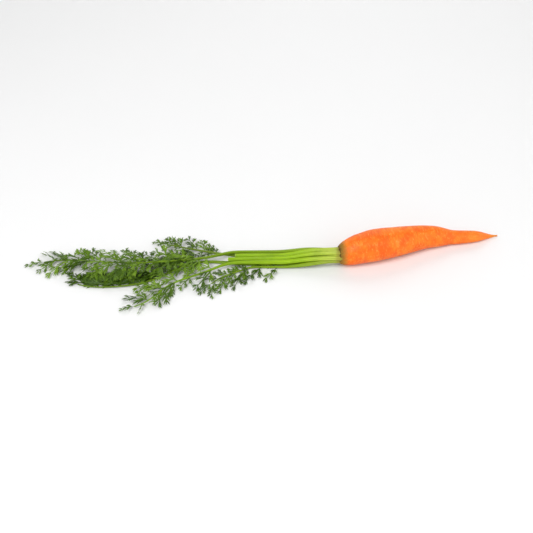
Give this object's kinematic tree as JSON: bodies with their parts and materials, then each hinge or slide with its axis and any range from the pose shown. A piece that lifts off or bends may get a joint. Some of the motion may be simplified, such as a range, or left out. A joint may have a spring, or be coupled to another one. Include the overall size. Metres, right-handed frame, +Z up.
{
  "type": "carrot with leafy tops",
  "caption": "Fresh orange carrot with a pointed, slightly bent root and its bunch of green stalks and feathery leaves, lying on a surface.",
  "frame": {"origin": "on the surface the carrot lies on, in the middle of the whole object's footprint", "axes": "+X along the root towards its tip, -X towards the leaves, +Z up from the surface"},
  "size_m": [0.47, 0.1028, 0.0314],
  "materials": {
    "root_skin": "orange carrot skin, fine cross rings, soft satin sheen",
    "stalk_green": "bright yellow-green ribbed leaf stalk, satin",
    "leaf_green": "dark green feathery leaf, matt"
  },
  "bodies": {
    "root": {"back_leaf_stalk": "stalk_green", "back_leaflet_01": "leaf_green", "back_leaflet_02": "leaf_green", "back_leaflet_03": "leaf_green", "back_leaflet_04": "leaf_green", "back_leaflet_05": "leaf_green", "back_leaflet_06": "leaf_green", "back_leaflet_07": "leaf_green", "cut_stalk_1": "stalk_green", "cut_stalk_2": "stalk_green", "cut_stalk_3": "stalk_green", "front_leaf_stalk": "stalk_green", "front_leaflet_01": "leaf_green", "front_leaflet_02": "leaf_green", "front_leaflet_03": "leaf_green", "front_leaflet_04": "leaf_green", "front_leaflet_05": "leaf_green", "front_leaflet_06": "leaf_green", "front_leaflet_07": "leaf_green", "front_leaflet_08": "leaf_green", "long_leaf_stalk": "stalk_green", "long_leaflet_01": "leaf_green", "long_leaflet_02": "leaf_green", "long_leaflet_03": "leaf_green", "long_leaflet_04": "leaf_green", "long_leaflet_05": "leaf_green", "long_leaflet_06": "leaf_green", "long_leaflet_07": "leaf_green", "long_leaflet_08": "leaf_green", "long_leaflet_09": "leaf_green", "long_leaflet_10": "leaf_green", "long_leaflet_11": "leaf_green", "long_leaflet_12": "leaf_green", "long_leaflet_13": "leaf_green", "low_leaf_stalk": "stalk_green", "low_leaflet_01": "leaf_green", "low_leaflet_02": "leaf_green", "low_leaflet_03": "leaf_green", "low_leaflet_04": "leaf_green", "low_leaflet_05": "leaf_green", "low_leaflet_06": "leaf_green", "low_leaflet_07": "leaf_green", "root": "root_skin", "short_leaf_stalk": "stalk_green", "short_leaflet_01": "leaf_green", "short_leaflet_02": "leaf_green", "short_leaflet_03": "leaf_green", "short_leaflet_04": "leaf_green", "short_leaflet_05": "leaf_green", "short_leaflet_06": "leaf_green", "short_leaflet_07": "leaf_green", "short_leaflet_08": "leaf_green", "short_leaflet_09": "leaf_green"}
  },
  "joints": []
}
